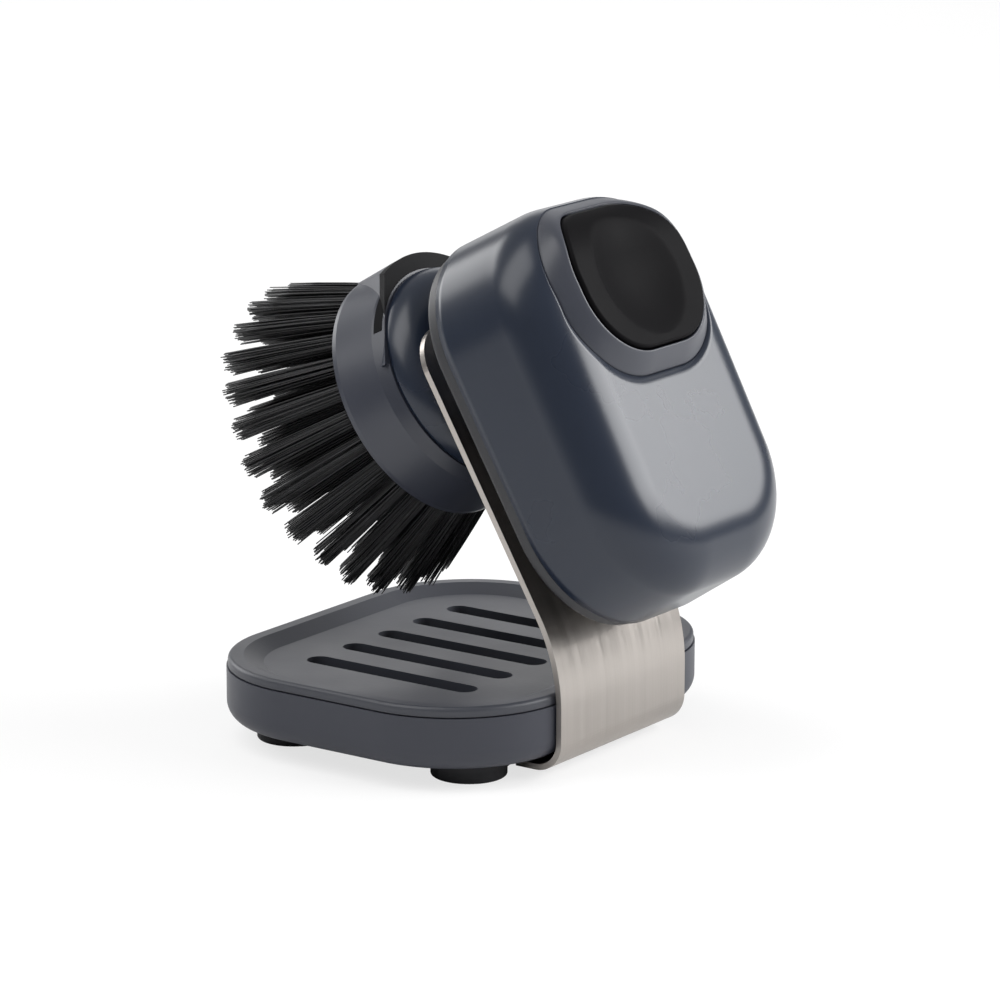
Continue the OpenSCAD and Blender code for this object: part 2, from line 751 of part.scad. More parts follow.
// Ring of tufts: straight strands that spread from each hole in the backing to their cut tips
module tuft_ring(count, root_r, tip_r, strands, turn, in_r, out_r, drop) {
    spread = 1.15;
    tip_z = -cup_depth - bristle_reach + drop;
    root_z = block_front + 0.8;
    color(black) on_brush() resize([0, 0, 0]) union() {
        translate([0, 0, block_front]) difference() {
            cylinder(r = out_r, h = slice_t, $fn = 72);
            translate([0, 0, -1]) cylinder(r = in_r, h = 4, $fn = 72);
        }
        for (t = [0 : count - 1], k = [0 : strands - 1]) {
            a = turn + 360 * t / count;
            b = 360 * k / (strands - 1);
            q = k == 0 ? 0 : spread;
            p0 = [root_r + q * cos(b), q * sin(b)];
            p1 = [tip_r + q * 1.35 * cos(b), q * 1.35 * sin(b)];
            cut = 0.9 * sin(97 * t + 61 * k);
            strand(spin(p0, a), root_z, spin(p1, a), tip_z + cut);
        }
    }
}

// A point turned about the brush axis
function spin(p, a) = [p[0] * cos(a) - p[1] * sin(a), p[0] * sin(a) + p[1] * cos(a)];

// One three-sided strand from a root to a tip
module strand(p0, z0, p1, z1) {
    v = [p1[0] - p0[0], p1[1] - p0[1], z1 - z0];
    len = norm(v);
    translate([p0[0], p0[1], z0])
        rotate([0, acos(v[2] / len), atan2(v[1], v[0])])
            cylinder(r = strand_d / 2, h = len, $fn = 3);
}

module bristles_outer() {
    tuft_ring(26, 21.1, bristle_tip_r, 6, 0, 19.3, 23.6, 0);
}
module bristles_second() {
    tuft_ring(26, 17.1, 27.4, 6, 180 / 26, 15.1, 19.2, 0.4);
}
module bristles_third() {
    tuft_ring(15, 12.8, 19.6, 7, 0, 10.7, 15, 0.8);
}
module bristles_inner() {
    tuft_ring(10, 8.4, 12.2, 5, 18, 4.7, 10.6, 1.1);
}

drip_tray();
drip_grid();
rubber_feet();
steel_bracket();
bracket_screws();
handle_base();
base_gasket();
reservoir_shell();
base_screws();
filler_stopper();
button_bezel();
push_button();
plunger();
piston_seal();
pump_cylinder();
button_spring();
neck_dome();
neck_seal();
head_cup();
head_grip_pad();
bristle_block();
outlet_nozzle();
outlet_valve();
bristles_outer();
bristles_second();
bristles_third();
bristles_inner();
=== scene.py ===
# Looks of the palm-held dish brush in its drip-tray stand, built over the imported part.
import math
import bpy
import numpy as np
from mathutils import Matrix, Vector


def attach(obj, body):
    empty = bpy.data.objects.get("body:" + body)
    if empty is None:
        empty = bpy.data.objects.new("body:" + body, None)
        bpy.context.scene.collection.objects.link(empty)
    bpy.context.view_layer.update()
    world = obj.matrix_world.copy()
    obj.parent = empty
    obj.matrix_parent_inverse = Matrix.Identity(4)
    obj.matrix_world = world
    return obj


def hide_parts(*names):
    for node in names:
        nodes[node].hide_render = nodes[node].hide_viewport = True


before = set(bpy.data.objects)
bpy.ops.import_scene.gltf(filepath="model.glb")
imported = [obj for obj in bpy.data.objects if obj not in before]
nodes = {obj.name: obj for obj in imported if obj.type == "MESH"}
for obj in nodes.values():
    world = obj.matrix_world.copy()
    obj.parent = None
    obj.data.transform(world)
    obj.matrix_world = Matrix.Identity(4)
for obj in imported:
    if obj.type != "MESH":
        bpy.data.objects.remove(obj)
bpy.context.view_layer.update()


# Drip tray
# The lower tub: satin slate plastic, injection moulded, with a fine spark-eroded grain.
# Its parting edge meets the grid, and it rests on four rubber feet.

def new_material(name, color, roughness, metallic=0.0, coat=0.0, specular=0.5):
    """A Principled material, with its node tree and shader. Constant values sit on the shader's sockets."""
    mat = bpy.data.materials.new(name)
    mat.use_nodes = True
    tree = mat.node_tree
    tree.nodes.clear()
    out = tree.nodes.new("ShaderNodeOutputMaterial")
    shader = tree.nodes.new("ShaderNodeBsdfPrincipled")
    shader.inputs["Base Color"].default_value = (*color, 1)
    shader.inputs["Roughness"].default_value = roughness
    shader.inputs["Metallic"].default_value = metallic
    shader.inputs["Coat Weight"].default_value = coat
    shader.inputs["Specular IOR Level"].default_value = specular
    tree.links.new(shader.outputs["BSDF"], out.inputs["Surface"])
    return mat, tree, shader


def moulded_grain():
    """Group: Object-space noise at two scales gives a mottled colour, a roughness and a bump normal."""
    g = bpy.data.node_groups.new("moulded_grain", "ShaderNodeTree")
    face = g.interface
    for name, kind, value in (("Dark", "NodeSocketColor", (0.04, 0.04, 0.05, 1)),
                              ("Light", "NodeSocketColor", (0.07, 0.07, 0.08, 1)),
                              ("Grain Size", "NodeSocketFloat", 1500.0),
                              ("Bump", "NodeSocketFloat", 0.1),
                              ("Rough Low", "NodeSocketFloat", 0.3),
                              ("Rough High", "NodeSocketFloat", 0.4)):
        s = face.new_socket(name, in_out="INPUT", socket_type=kind)
        s.default_value = value
    for name, kind in (("Color", "NodeSocketColor"),
                       ("Roughness", "NodeSocketFloat"),
                       ("Normal", "NodeSocketVector")):
        face.new_socket(name, in_out="OUTPUT", socket_type=kind)
    n = g.nodes
    gi = n.new("NodeGroupInput")
    go = n.new("NodeGroupOutput")
    co = n.new("ShaderNodeTexCoord")
    fine = n.new("ShaderNodeTexNoise")
    fine.inputs["Detail"].default_value = 3
    broad = n.new("ShaderNodeTexNoise")
    broad.inputs["Scale"].default_value = 38
    broad.inputs["Detail"].default_value = 4
    tint = n.new("ShaderNodeMix")
    tint.data_type = "RGBA"
    rough = n.new("ShaderNodeMapRange")
    bump = n.new("ShaderNodeBump")
    bump.inputs["Distance"].default_value = 0.00006
    g.links.new(co.outputs["Object"], fine.inputs["Vector"])
    g.links.new(co.outputs["Object"], broad.inputs["Vector"])
    g.links.new(gi.outputs["Grain Size"], fine.inputs["Scale"])
    g.links.new(broad.outputs["Fac"], tint.inputs["Factor"])
    g.links.new(gi.outputs["Dark"], tint.inputs["A"])
    g.links.new(gi.outputs["Light"], tint.inputs["B"])
    g.links.new(broad.outputs["Fac"], rough.inputs["Value"])
    rough.inputs["From Min"].default_value = 0.3
    rough.inputs["From Max"].default_value = 0.7
    g.links.new(gi.outputs["Rough Low"], rough.inputs["To Min"])
    g.links.new(gi.outputs["Rough High"], rough.inputs["To Max"])
    g.links.new(fine.outputs["Fac"], bump.inputs["Height"])
    g.links.new(gi.outputs["Bump"], bump.inputs["Strength"])
    g.links.new(tint.outputs["Result"], go.inputs["Color"])
    g.links.new(rough.outputs["Result"], go.inputs["Roughness"])
    g.links.new(bump.outputs["Normal"], go.inputs["Normal"])
    return g


GRAIN = moulded_grain()


def moulded(name, dark, light, rough, grain=1500.0, bump=0.1, coat=0.0, specular=0.5):
    """A moulded plastic or rubber: the shared grain drives colour, roughness and bump."""
    mat, tree, shader = new_material(name, light, rough[0], coat=coat, specular=specular)
    grp = tree.nodes.new("ShaderNodeGroup")
    grp.node_tree = GRAIN
    for socket, value in (("Dark", (*dark, 1)), ("Light", (*light, 1)), ("Grain Size", grain), ("Bump", bump),
                          ("Rough Low", rough[0]), ("Rough High", rough[1])):
        grp.inputs[socket].default_value = value
    tree.links.new(grp.outputs["Color"], shader.inputs["Base Color"])
    tree.links.new(grp.outputs["Roughness"], shader.inputs["Roughness"])
    tree.links.new(grp.outputs["Normal"], shader.inputs["Normal"])
    return mat


def dress(name, mat):
    """Gives a CAD node its material."""
    mesh = nodes[name].data
    mesh.materials.clear()
    mesh.materials.append(mat)


slate = moulded("slate_plastic", (0.027, 0.029, 0.040), (0.036, 0.039, 0.052), (0.40, 0.50),
                bump=0.12, specular=0.42)
dress("drip_tray", slate)


# Drip grid
# The loose top of the tray: the same slate plastic, dished, with five drain slots.
# Its deck has a coarser satin grain than the tub. Its colour is painted lighter than the tub's, as painted
# light on the deck that faces up.

# Same slate as the tub but painted lighter: painted light on the upward deck
grid_slate_painted_lighter = moulded("grid_plastic_painted_light", (0.032, 0.034, 0.044), (0.042, 0.045, 0.056), (0.40, 0.50),
                     grain=1100.0, bump=0.3)
dress("drip_grid", grid_slate_painted_lighter)


# Rubber feet
# Four press-in feet of soft black rubber, matt, with dust in the grain.

rubber = moulded("black_rubber", (0.010, 0.010, 0.012), (0.020, 0.020, 0.022), (0.62, 0.78),
                 grain=900.0, bump=0.3, specular=0.3)
dress("rubber_feet", rubber)


# Steel bracket
# A laser-cut stainless plate, 1.2 mm thick, brushed along its length and then bent.
# The brushing is drawn as streaks that change across X and hardly along the plate.

def brushed_steel():
    """Streaks: noise squeezed along X and stretched along the plate drives colour, roughness and
    a fine bump."""
    mat, tree, shader = new_material("brushed_steel", (0.60, 0.56, 0.52), 0.3, metallic=1.0)
    n = tree.nodes
    co = n.new("ShaderNodeTexCoord")
    stretch = n.new("ShaderNodeMapping")
    stretch.inputs["Scale"].default_value = (2600, 22, 22)
    fine = n.new("ShaderNodeTexNoise")
    fine.inputs["Scale"].default_value = 1.0
    fine.inputs["Detail"].default_value = 5
    wide = n.new("ShaderNodeMapping")
    wide.inputs["Scale"].default_value = (320, 6, 6)
    band = n.new("ShaderNodeTexNoise")
    band.inputs["Scale"].default_value = 1.0
    band.inputs["Detail"].default_value = 3
    tint = n.new("ShaderNodeMix")
    tint.data_type = "RGBA"
    tint.inputs["A"].default_value = (0.35, 0.322, 0.296, 1)
    tint.inputs["B"].default_value = (0.49, 0.457, 0.43, 1)
    both = n.new("ShaderNodeMath")
    both.operation = "ADD"
    half = n.new("ShaderNodeMath")
    half.operation = "MULTIPLY"
    half.inputs[1].default_value = 0.5
    rough = n.new("ShaderNodeMapRange")
    rough.inputs["From Min"].default_value = 0.35
    rough.inputs["From Max"].default_value = 0.65
    rough.inputs["To Min"].default_value = 0.28
    rough.inputs["To Max"].default_value = 0.42
    bump = n.new("ShaderNodeBump")
    bump.inputs["Strength"].default_value = 0.35
    bump.inputs["Distance"].default_value = 0.00004
    link = tree.links.new
    link(co.outputs["Object"], stretch.inputs["Vector"])
    link(co.outputs["Object"], wide.inputs["Vector"])
    link(stretch.outputs["Vector"], fine.inputs["Vector"])
    link(wide.outputs["Vector"], band.inputs["Vector"])
    link(fine.outputs["Fac"], both.inputs[0])
    link(band.outputs["Fac"], both.inputs[1])
    link(both.outputs["Value"], half.inputs[0])
    link(half.outputs["Value"], tint.inputs["Factor"])
    link(half.outputs["Value"], rough.inputs["Value"])
    link(tint.outputs["Result"], shader.inputs["Base Color"])
    link(rough.outputs["Result"], shader.inputs["Roughness"])
    link(fine.outputs["Fac"], bump.inputs["Height"])
    link(bump.outputs["Normal"], shader.inputs["Normal"])
    return mat


dress("steel_bracket", brushed_steel())


# Screws and spring
# Plain bright steel: turned screw heads, and the drawn wire of the return spring.

def bright_steel():
    """Bright steel: a fine noise changes its tint and its roughness a little."""
    mat, tree, shader = new_material("screw_steel", (0.55, 0.54, 0.53), 0.3, metallic=1.0)
    n = tree.nodes
    co = n.new("ShaderNodeTexCoord")
    noise = n.new("ShaderNodeTexNoise")
    noise.inputs["Scale"].default_value = 2200
    noise.inputs["Detail"].default_value = 3
    rough = n.new("ShaderNodeMapRange")
    rough.inputs["To Min"].default_value = 0.2
    rough.inputs["To Max"].default_value = 0.45
    tint = n.new("ShaderNodeMix")
    tint.data_type = "RGBA"
    tint.inputs["A"].default_value = (0.44, 0.43, 0.42, 1)
    tint.inputs["B"].default_value = (0.62, 0.61, 0.60, 1)
    link = tree.links.new
    link(co.outputs["Object"], noise.inputs["Vector"])
    link(noise.outputs["Fac"], rough.inputs["Value"])
    link(noise.outputs["Fac"], tint.inputs["Factor"])
    link(rough.outputs["Result"], shader.inputs["Roughness"])
    link(tint.outputs["Result"], shader.inputs["Base Color"])
    return mat


screw_steel = bright_steel()
for name in ("bracket_screws", "base_screws", "button_spring"):
    dress(name, screw_steel)


# Handle base and gasket
# The dark lower plate of the handle, seen as the rim under the shell, with a black gasket in the seam.

rim_plastic = moulded("rim_plastic", (0.018, 0.018, 0.021), (0.026, 0.027, 0.031), (0.42, 0.55), bump=0.14)
dress("handle_base", rim_plastic)
dress("base_gasket", rubber)
dress("filler_stopper", rubber)
for name in ("piston_seal", "neck_seal", "outlet_valve"):
    dress(name, rubber)


# Reservoir shell
# A smoked, glossy plastic shell that holds the soap: rounded block, bowed sides, wide edge rounding.
# One skin from the seam up to the bezel's opening, given its wall by Solidify.

# Millimetres in the upright brush: the seam's height, how far the handle's middle lies behind the axis,
# half width, half length, corner radius, height over the seam, top edge radius, draft over the height
SEAM = 19.5
BACK = 19.9
HALF_W = 30.0
HALF_L = 40.9
CORNER_R = 23.0
SHELL_H = 25.0
EDGE_R = 11.0
DRAFT = 1.2
# Swell of the bowed sides as a share of the width, slope of the crown, and the gap over the gasket
BOW = 0.016
SLOPE = math.tan(math.radians(3.0))
GASKET_GAP = 0.25
# Half width, half length and corner radius of the bezel's opening, and its middle along Y
OPENING = (22.9, 18.9, 17.15)
OPENING_Y = 0.15
# Lean of the brush and the place of its axis in the fork
TILT = math.radians(30.5)
BRUSH_AT = np.array([0.0, 7.66, 73.1])


def on_brush(p):
    """Points in the upright brush's millimetres, leaned by the tilt and moved to the fork, in metres."""
    c, s = math.cos(TILT), math.sin(TILT)
    out = np.empty_like(p)
    out[..., 0] = p[..., 0]
    out[..., 1] = s * p[..., 1] - c * p[..., 2]
    out[..., 2] = c * p[..., 1] + s * p[..., 2]
    return (out + BRUSH_AT) / 1000.0


def grid_mesh(name, rings, mat, close_rows=False, cap_start=False, cap_end=False):
    """A surface from rings[k, i]: ring k is joined to ring k + 1, each ring is closed on itself, and a cap
    is a single face."""
    k, n = rings.shape[:2]
    i = np.arange(n)
    j = (i + 1) % n
    rows = np.arange(k if close_rows else k - 1)
    a = (rows[:, None] * n + i).ravel()
    b = (rows[:, None] * n + j).ravel()
    c = (((rows[:, None] + 1) % k) * n + j).ravel()
    d = (((rows[:, None] + 1) % k) * n + i).ravel()
    faces = np.stack([a, b, c, d], axis=1).tolist()
    if cap_start:
        faces.append(i[::-1].tolist())
    if cap_end:
        faces.append(((k - 1) * n + i).tolist())
    mesh = bpy.data.meshes.new(name)
    mesh.from_pydata(rings.reshape(-1, 3).tolist(), [], faces)
    mesh.shade_smooth()
    mesh.materials.append(mat)
    obj = bpy.data.objects.new(name, mesh)
    bpy.context.scene.collection.objects.link(obj)
    return obj


def rounded_rect(half_w, half_l, r, arc=28, side=14):
    """A rounded rectangle run anticlockwise: four quarter arcs joined by straight sides, always with the
    same number of points."""
    q = np.linspace(0, np.pi / 2, arc)
    t = np.linspace(0, 1, side + 2)[1:-1, None]
    corners = [(half_w - r, half_l - r, 0), (-half_w + r, half_l - r, 90),
               (-half_w + r, -half_l + r, 180), (half_w - r, -half_l + r, 270)]
    arcs = [np.stack([cx + r * np.cos(q + math.radians(a)), cy + r * np.sin(q + math.radians(a))], 1)
            for cx, cy, a in corners]
    parts = []
    for m in range(4):
        p, nxt = arcs[m], arcs[(m + 1) % 4]
        parts += [p, p[-1] * (1 - t) + nxt[0] * t]
    return np.concatenate(parts)


def inside_depth(x, y, half_w, half_l, r):
    """How deep a point lies inside a rounded rectangle: the exact distance to its outline."""
    qx = np.abs(x) - (half_w - r)
    qy = np.abs(y) - (half_l - r)
    out = np.hypot(np.maximum(qx, 0), np.maximum(qy, 0)) + np.minimum(np.maximum(qx, qy), 0)
    return r - out


def level(outline, z):
    """A flat outline lifted to one height."""
    return np.column_stack([outline, np.full(len(outline), z)])


def shell_rings():
    """Wall rings rise from the seam with a draft. Then each point runs in a straight line to the bezel's
    opening, at the height of a quarter circle over its depth inside the outline. The sides swell in
    their middle by the square of the way along, and the height gains the crown slope in proportion."""
    wall_top = SHELL_H - EDGE_R
    rings = []
    for z in np.linspace(GASKET_GAP, wall_top, 10):
        inset = DRAFT * z / SHELL_H
        rings.append(level(rounded_rect(HALF_W - inset, HALF_L - inset, CORNER_R - inset), z))
    inset = DRAFT * wall_top / SHELL_H
    outline = (HALF_W - inset, HALF_L - inset, CORNER_R - inset)
    edge = rounded_rect(*outline)
    hole = rounded_rect(*OPENING) + np.array([0, BACK + OPENING_Y])
    for s in np.linspace(0, 1, 44)[1:]:
        p = edge + (hole - edge) * s ** 2
        depth = np.clip(inside_depth(p[:, 0], p[:, 1], *outline), 0, EDGE_R)
        z = wall_top + np.sqrt(EDGE_R ** 2 - (EDGE_R - depth) ** 2)
        rings.append(np.column_stack([p, z]))
    rings = np.array(rings)
    rings[..., 0] *= 1 + BOW * (1 - (rings[..., 1] / HALF_L) ** 2)
    rise = rings[..., 2] / SHELL_H
    out = rings.copy()
    out[..., 1] = rings[..., 1] - BACK
    out[..., 2] = SEAM + rings[..., 2] + SLOPE * rings[..., 1] * rise
    return out


smoke = moulded("smoke_shell", (0.009, 0.014, 0.027), (0.013, 0.019, 0.034), (0.27, 0.285),
                grain=2400.0, bump=0.0, specular=0.45)
shell = grid_mesh("shell_skin", on_brush(shell_rings()), smoke)
wall = shell.modifiers.new("wall", "SOLIDIFY")
wall.thickness = 0.0022
wall.offset = -1
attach(shell, "brush")
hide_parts("reservoir_shell")


# Button bezel
# A satin slate ring snapped into the shell: steep band, soft lips, and the dry well under the button.

# Heights of the band's inner lip, its hidden foot, the well's floor and its underside
BEZEL_TOP = 48.1
BAND_FOOT = 38.0
WELL_FLOOR = 36.0
WELL_BASE = 34.0
# Radius of the brow's arc and where it starts along Y; fall of the band for each millimetre outwards
BROW_R = 15.1
BROW_Y = 5.4
BAND_FALL = 0.83
# How far the button's middle lies in front of the axis, and the bore for the plunger's stem
BUTTON_Y = 1.0
BORE_R = 3.3
# How softly the band's slope turns into the brow
BLEND = 0.4


def brow(y, drop):
    """Height under the rounded brow shared by bezel and button: flat as far as BROW_Y, then an arc."""
    top = BEZEL_TOP - drop
    front = top - BROW_R + np.sqrt(np.maximum(BROW_R ** 2 - np.maximum(y - BROW_Y, 0) ** 2, 0))
    return np.where(y > BROW_Y, front, top)


def lip(d, f):
    """How far a rounded lip of radius f lies below the corner it rounds, at distance d from the edge."""
    return f - np.sqrt(f ** 2 - (f - np.clip(d, 0, f)) ** 2)


def bezel_rings():
    """Closed profile round the button: band from the shell to the inner lip, well wall, floor, bore and
    back. The band is the soft minimum of its slope and the brow, and its outer edge takes the height of
    the shell's last ring, so that the two meet flush."""
    mid = np.array([0, BUTTON_Y])
    well = rounded_rect(19.05, 15.55, 13.85)
    inner = well + mid
    outer = rounded_rect(22.85, 18.8, 17.1) + np.array([0, OPENING_Y])
    tube = rounded_rect(20.5, 17.0, 15.3) + mid
    bore = BORE_R * well / np.linalg.norm(well, axis=1)[:, None]
    span = np.linalg.norm(outer - inner, axis=1)
    flush = shell_rings()[-1, :, 2] - 0.1

    def band(s):
        g = span * (1 - s)
        slope = BEZEL_TOP - BAND_FALL * g - 47
        top = brow((outer + (inner - outer) * s)[:, 1], 0) - 47
        return 47.1 - BLEND * np.log(np.exp(-slope / BLEND) + np.exp(-top / BLEND)) - lip(g, 0.6)

    miss = flush - band(0)
    rings = [level(outer, BAND_FOOT)]
    for s in np.concatenate([np.linspace(0, 0.18, 6), np.linspace(0.25, 0.8, 8), np.linspace(0.84, 1, 8)]):
        z = band(s) + miss * (1 - s) ** 3 - lip(span * s, 0.25)
        rings.append(np.column_stack([outer + (inner - outer) * s, z]))
    lips = rings[-1][:, 2]
    rings += [np.column_stack([inner, np.minimum(z, lips)]) for z in (44.0, 41.0, WELL_FLOOR)]
    rings += [level(bore, WELL_FLOOR), level(bore, WELL_BASE), level(tube, WELL_BASE), level(tube, BAND_FOOT)]
    return np.array(rings)


bezel_plastic = moulded("bezel_plastic", (0.030, 0.033, 0.045), (0.040, 0.044, 0.058), (0.36, 0.44),
                        bump=0.08)
bezel = grid_mesh("bezel_ring", on_brush(bezel_rings()), bezel_plastic, close_rows=True)
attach(bezel, "brush")
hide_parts("button_bezel")


# Push button
# The black thumb pad: soft-touch plastic with a shallow dish, rounded over its edge, and a short skirt.

# Heights of the skirt's foot and of the pocket that holds the spring; how far the pad stands proud
PAD_FOOT = 41.9
POCKET_TOP = 44.2
PAD_PROUD = 0.3
# Depth and radius of the thumb dish, and its middle along Y
DISH_DEPTH = 3.0
DISH_R = 13.0
DISH_Y = 0.5


def button_rings():
    """Pocket and skirt, then rings that shrink to a point. The height is the brow, less a dish that
    falls off as a power of a parabola, less the rounded edge."""
    base = rounded_rect(18.7, 15.2, 13.5)
    mid = np.array([0, BUTTON_Y])
    pocket = rounded_rect(16.7, 13.2, 11.5) + mid
    rings = [level(pocket, POCKET_TOP), level(pocket, PAD_FOOT), level(base + mid, PAD_FOOT)]
    shrink = np.concatenate([np.linspace(1, 0.95, 8), np.linspace(0.93, 0.86, 6),
                             np.linspace(0.82, 0.02, 26)])
    for s in shrink:
        p = base * s + mid
        from_dish = (p[:, 0] ** 2 + (p[:, 1] - DISH_Y) ** 2) / DISH_R ** 2
        dish = DISH_DEPTH * np.clip(1 - from_dish, 0, None) ** 1.15
        from_edge = (1 - s) * np.linalg.norm(base, axis=1)
        z = brow(p[:, 1], -PAD_PROUD) - dish - lip(from_edge, 0.6)
        rings.append(np.column_stack([p, z]))
    return np.array(rings)


thumb_black = moulded("thumb_black", (0.0028, 0.0026, 0.0032), (0.0048, 0.0045, 0.0052), (0.52, 0.62),
                      grain=1900.0, bump=0.16, specular=0.05)
button = grid_mesh("thumb_pad", on_brush(button_rings()), thumb_black, cap_start=True, cap_end=True)
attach(button, "button")
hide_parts("push_button")


# Pump
# Plain natural plastic parts hidden in the handle, and the nozzle between the bristles.

pump_plastic = moulded("pump_plastic", (0.44, 0.45, 0.46), (0.54, 0.55, 0.56), (0.35, 0.45))
for name in ("plunger", "pump_cylinder", "outlet_nozzle"):
    dress(name, pump_plastic)


# Neck dome
# Glossy smoked neck turned in one piece: flare at the head, groove for the fork, collar and spigot.

def lathe(profile, count=144):
    """A profile of (radius, height) spun about the brush axis: ring k has radius profile[k, 0]."""
    a = np.linspace(0, 2 * np.pi, count, endpoint=False)
    profile = np.asarray(profile, float)
    return np.stack([profile[:, :1] * np.cos(a), profile[:, :1] * np.sin(a),
                     np.repeat(profile[:, 1:], count, axis=1)], axis=-1)


def rounded_path(corners, steps=5):
    """A corner list (radius, height, fillet) as a path whose corners are small quadratic curves."""
    c = np.array(corners, float)
    path = []
    for m in range(len(c)):
        p, f = c[m, :2], c[m, 2]
        a, b = c[m - 1, :2], c[(m + 1) % len(c), :2]
        if f == 0:
            path.append(p)
            continue
        start = p + (a - p) / np.linalg.norm(a - p) * f
        end = p + (b - p) / np.linalg.norm(b - p) * f
        for t in np.linspace(0, 1, steps):
            path.append((1 - t) ** 2 * start + 2 * t * (1 - t) * p + t ** 2 * end)
    return np.array(path)


# Radii of the soap channel, lower spigot, flare, groove, collar and upper spigot, then the heights
CHANNEL_R = 1.5
SPIGOT_R = 8
FLARE_R = 22.2
GROOVE_R = 11
COLLAR_R = 16
UPPER_R = 9
SPIGOT_FOOT = -4
SHOULDER = 0.3
GROOVE_LOW = 6.65
GROOVE_HIGH = 8.75
COLLAR_TOP = 16.15
UPPER_TOP = 19.45

dome_r = GROOVE_LOW - SHOULDER
flare = [(FLARE_R - dome_r + dome_r * math.cos(t), SHOULDER + dome_r * math.sin(t), 0)
         for t in np.linspace(0, math.pi / 2, 20)]
spigot = [(CHANNEL_R, SPIGOT_FOOT, 0), (SPIGOT_R, SPIGOT_FOOT, 0.3), (SPIGOT_R, SHOULDER, 0.1)]
collar = [(GROOVE_R, GROOVE_LOW, 0.3), (GROOVE_R, GROOVE_HIGH, 0.3), (COLLAR_R, GROOVE_HIGH, 0.7),
          (COLLAR_R, COLLAR_TOP, 0.3), (UPPER_R, COLLAR_TOP, 0.1), (UPPER_R, UPPER_TOP, 0.2),
          (CHANNEL_R, UPPER_TOP, 0)]
neck_path = rounded_path(spigot + flare + collar)
dome = grid_mesh("neck_flare", on_brush(lathe(neck_path)), smoke, close_rows=True)
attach(dome, "brush")
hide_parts("neck_dome")


# Head cup and grip pad
# Slate cup round the bristles with a raised hood, and the black crescent set into the hood's back.

cup_plastic = moulded("cup_plastic", (0.028, 0.031, 0.044), (0.038, 0.042, 0.057), (0.30, 0.40), bump=0.08)
dress("head_cup", cup_plastic)
pad_rubber = moulded("pad_rubber", (0.004, 0.004, 0.005), (0.007, 0.007, 0.008), (0.55, 0.70),
                     grain=1400.0, bump=0.2, specular=0.12)
dress("head_grip_pad", pad_rubber)
dress("bristle_block", thumb_black)


# Bristles
# Black nylon strands stapled in tufts through the block: four rings that spread to a crown of cut tips.

def bristle_material():
    """Black nylon: noise stretched along the brush axis makes some strands paler in streaks and changes the
    sheen.
    """
    mat, tree, shader = new_material("bristle_nylon", (0.010, 0.010, 0.011), 0.38)
    n = tree.nodes
    uv = n.new("ShaderNodeUVMap")
    uv.uv_map = "strand"
    noise = n.new("ShaderNodeTexNoise")
    noise.inputs["Scale"].default_value = 31
    noise.inputs["Detail"].default_value = 2
    ramp = n.new("ShaderNodeValToRGB")
    ramp.color_ramp.elements[0].position = 0.45
    ramp.color_ramp.elements[0].color = (0.007, 0.007, 0.0075, 1)
    ramp.color_ramp.elements[1].position = 0.75
    ramp.color_ramp.elements[1].color = (0.030, 0.030, 0.033, 1)
    rough = n.new("ShaderNodeMapRange")
    rough.inputs["To Min"].default_value = 0.3
    rough.inputs["To Max"].default_value = 0.55
    link = tree.links.new
    link(uv.outputs["UV"], noise.inputs["Vector"])
    link(noise.outputs["Fac"], ramp.inputs["Fac"])
    link(ramp.outputs["Color"], shader.inputs["Base Color"])
    link(noise.outputs["Fac"], rough.inputs["Value"])
    link(rough.outputs["Result"], shader.inputs["Roughness"])
    return mat


nylon = bristle_material()


# Radius of a tuft at the block, heights of the roots and tips, and the height that no tip passes
TUFT_R = 1.6
ROOT_Z = -8.2
TIP_Z = -34.5
LOWEST_TIP = -34.9


def tuft_strands(count, root_r, tip_r, per_tuft, turn, drop, seed):
    """Centre lines of a ring of tufts: the roots fill a disc in sunflower order, the tips fill a wider one,
    and each strand bows outwards by a parabola along its length. Returns strands x steps x 3."""
    rng = np.random.default_rng(seed)
    t = np.repeat(np.arange(count), per_tuft)
    k = np.tile(np.arange(per_tuft), count)
    rad = TUFT_R * np.sqrt((k + 0.5) / per_tuft)
    ang = k * 2.39996 + rng.uniform(0, 0.5, len(k))
    face = np.radians(turn + 360 * t / count)
    step = np.linspace(0, 1, 5)[:, None]
    spread = 1 + 0.5 * step
    u = root_r + (tip_r - root_r) * step + rad * np.cos(ang) * spread + 0.9 * step * (1 - step)
    v = rad * np.sin(ang) * spread + rng.normal(0, 0.14, len(k)) * step
    u = u + rng.normal(0, 0.16, len(k)) * step ** 2
    tip = TIP_Z + drop + 0.55 * np.sin(t * 1.7) + rng.normal(0, 0.14, len(k))
    tip = tip + np.abs(rng.normal(0, 0.2, len(k)))
    z = ROOT_Z + (np.maximum(tip, LOWEST_TIP) - ROOT_Z) * step
    x = u * np.cos(face) - v * np.sin(face)
    y = u * np.sin(face) + v * np.cos(face)
    return np.stack([x, y, z], -1).transpose(1, 0, 2)


